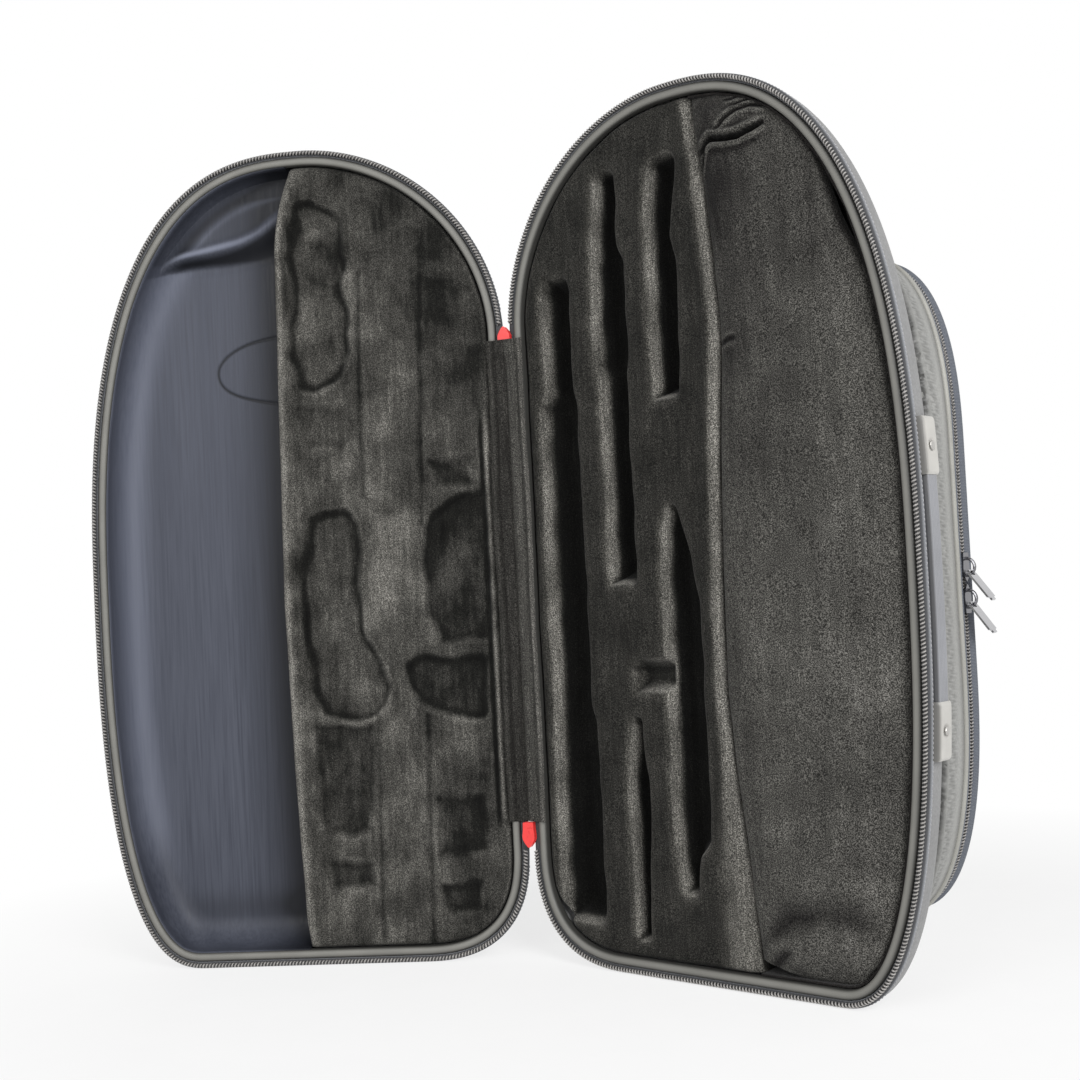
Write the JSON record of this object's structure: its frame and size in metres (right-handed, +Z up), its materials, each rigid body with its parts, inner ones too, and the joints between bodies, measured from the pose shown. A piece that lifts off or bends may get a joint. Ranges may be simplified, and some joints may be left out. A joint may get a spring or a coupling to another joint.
{
  "type": "flute and piccolo case",
  "caption": "Zipped arched hard case for a flute and a piccolo, open like a book, with a stepped velour tray, a cushion over a compartment, a side handle and a zipped pocket on the back.",
  "frame": {"origin": "middle of the base shell's flat foot, on the ground that the open case stands on", "axes": "+Z up along the case's height; +X from the spine towards the handle side of the base half; -Y out of the base half's open front, +Y towards the pocket on its back"},
  "size_m": [0.4797, 0.216, 0.4798],
  "materials": {
    "leatherette": "fine grained grey leatherette over hard board",
    "rim_band": "satin warm grey bound edge",
    "zip_tape": "woven tape",
    "zip_coil": "dark nylon coil",
    "tray_velour": "charcoal velour over moulded foam",
    "cushion_velour": "charcoal velour",
    "pad_velour": "charcoal velour over foam",
    "hinge_fabric": "woven strip",
    "lining_satin": "blue-grey satin over thin moulded board",
    "piping": "satin beige-grey cord cover",
    "strap": "ribbed light grey strap",
    "tab": "smooth pale grey tab",
    "bright_metal": "bright rivet",
    "chrome": "polished chrome",
    "red_enamel": "red lacquer"
  },
  "bodies": {
    "base": {"base_shell": "leatherette", "base_rim_band": "rim_band", "base_zip_tape": "zip_tape", "base_zip_coil": "zip_coil", "base_hinge_leaf": "hinge_fabric", "instrument_tray": "tray_velour", "compartment_lining": "tray_velour", "accessory_cushion": "cushion_velour", "handle_strap": "strap", "handle_tab_upper": "tab", "handle_tab_lower": "tab", "handle_rivet_upper": "bright_metal", "handle_rivet_lower": "bright_metal", "main_slider_upper": "red_enamel", "main_slider_lower": "red_enamel", "pocket_gusset": "leatherette", "pocket_piping": "piping", "pocket_zip_tape": "zip_tape", "pocket_zip_coil": "zip_coil", "pocket_hinge_band": "zip_tape"},
    "lid": {"lid_shell": "leatherette", "lid_rim_band": "rim_band", "lid_zip_tape": "zip_tape", "lid_zip_coil": "zip_coil", "lid_hinge_leaf": "hinge_fabric", "lid_pad": "pad_velour", "lid_lining": "lining_satin"},
    "cover": {"pocket_cover": "leatherette", "cover_zip_tape": "zip_tape", "cover_zip_coil": "zip_coil"},
    "upper_slider": {"pocket_slider_upper": "chrome"},
    "lower_slider": {"pocket_slider_lower": "chrome"},
    "upper_pull": {"pocket_pull_upper": "chrome"},
    "lower_pull": {"pocket_pull_lower": "chrome"},
    "upper_main_pull": {"main_pull_upper": "red_enamel"},
    "lower_main_pull": {"main_pull_lower": "red_enamel"}
  },
  "joints": [
    {"name": "lid_hinge", "type": "hinge", "parent": "base", "child": "lid", "pos_m": [-0.13, -0.0085, 0.219], "axis": [0, 0, 1], "range_deg": [-35.7, 144.3]},
    {"name": "pocket_cover_hinge", "type": "hinge", "parent": "base", "child": "cover", "pos_m": [-0.116, 0.0559, 0.2065], "axis": [0, 0, 1], "range_deg": [0, 100]},
    {"name": "pocket_slider_upper_slide", "type": "slide", "parent": "base", "child": "upper_slider", "axis": [0, 0, 1], "range_m": [0, 0.045]},
    {"name": "pocket_slider_lower_slide", "type": "slide", "parent": "base", "child": "lower_slider", "axis": [0, 0, 1], "range_m": [-0.034, 0]},
    {"name": "pocket_pull_upper_turn", "type": "hinge", "parent": "upper_slider", "child": "upper_pull", "pos_m": [0.1195, 0.05095, 0.2135], "axis": [0, -1, 0], "range_deg": [-6, 120]},
    {"name": "pocket_pull_lower_turn", "type": "hinge", "parent": "lower_slider", "child": "lower_pull", "pos_m": [0.1195, 0.05095, 0.1975], "axis": [0, -1, 0], "range_deg": [-16, 28]},
    {"name": "main_pull_upper_turn", "type": "hinge", "parent": "base", "child": "upper_main_pull", "pos_m": [-0.13, -0.0029, 0.35955], "axis": [1, 0, 0], "range_deg": [0, 170]},
    {"name": "main_pull_lower_turn", "type": "hinge", "parent": "base", "child": "lower_main_pull", "pos_m": [-0.13, -0.0029, 0.07145], "axis": [1, 0, 0], "range_deg": [-85, 85]}
  ]
}
